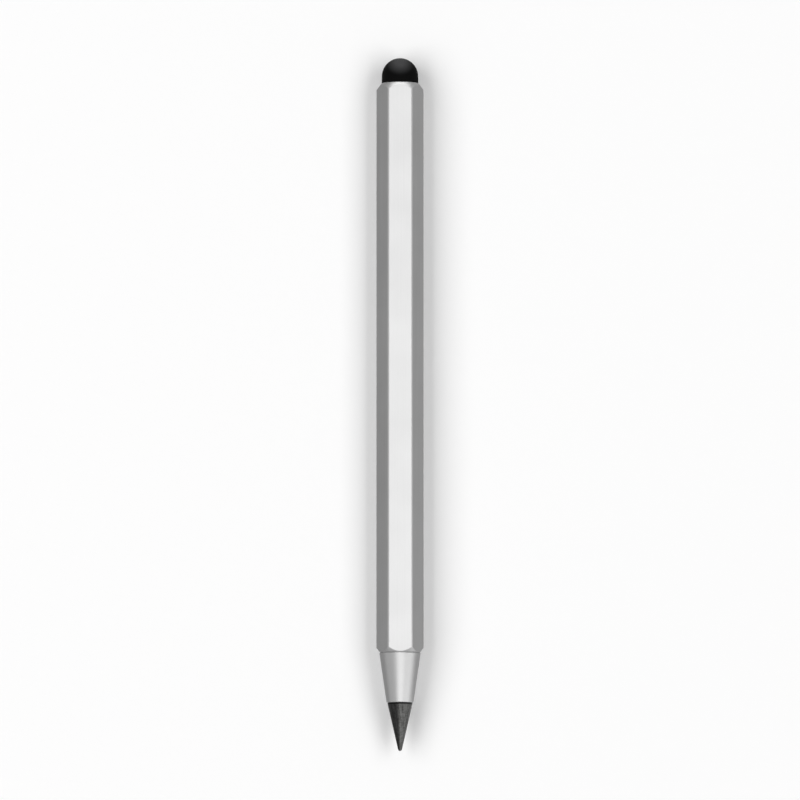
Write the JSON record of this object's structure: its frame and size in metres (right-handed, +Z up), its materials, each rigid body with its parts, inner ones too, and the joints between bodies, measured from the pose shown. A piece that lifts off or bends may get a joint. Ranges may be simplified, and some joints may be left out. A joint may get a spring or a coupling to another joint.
{
  "type": "inkless metal pencil",
  "caption": "Hexagonal aluminium pencil with a screw-in graphite alloy writing tip at one end and a hollow rubber touch-screen dome at the other.",
  "frame": {"origin": "middle of the pencil's length and width, on the table that its lower facet lies on", "axes": "+Y along the pencil from the writing tip to the rubber dome, +Z up, square to the facet that it lies on"},
  "size_m": [0.009, 0.1336, 0.008],
  "materials": {
    "satin_aluminium": "satin blasted and clear anodised",
    "turned_aluminium": "fine turned",
    "graphite_alloy": "satin graphite",
    "dome_rubber": "satin silicone",
    "ring_rubber": "matte",
    "turned_brass": "turned"
  },
  "bodies": {
    "barrel": {"barrel": "satin_aluminium", "front_bush": "turned_brass", "stylus_plug": "turned_brass"},
    "tip_ring": {"tip_o_ring": "ring_rubber"},
    "tip": {"tip_holder": "turned_aluminium", "writing_tip": "graphite_alloy"},
    "dome": {"stylus_dome": "dome_rubber"}
  },
  "joints": [
    {"name": "tip_travel", "type": "slide", "parent": "barrel", "child": "tip_ring", "axis": [0, -1, 0], "range_m": [0, 0.0084]},
    {"name": "tip_unscrew", "type": "hinge", "parent": "tip_ring", "child": "tip", "pos_m": [0, -0.0479, 0.004], "axis": [0, -1, 0], "range_deg": [0, 4320]},
    {"name": "dome_press", "type": "slide", "parent": "barrel", "child": "dome", "axis": [0, -1, 0], "range_m": [0, 0.0011], "stiffness_N_per_m": 800, "deforming": ["stylus_dome"]}
  ],
  "couplings": [
    {"joint": "tip_unscrew", "follows": "tip_travel", "rad_per_m": 8976}
  ]
}
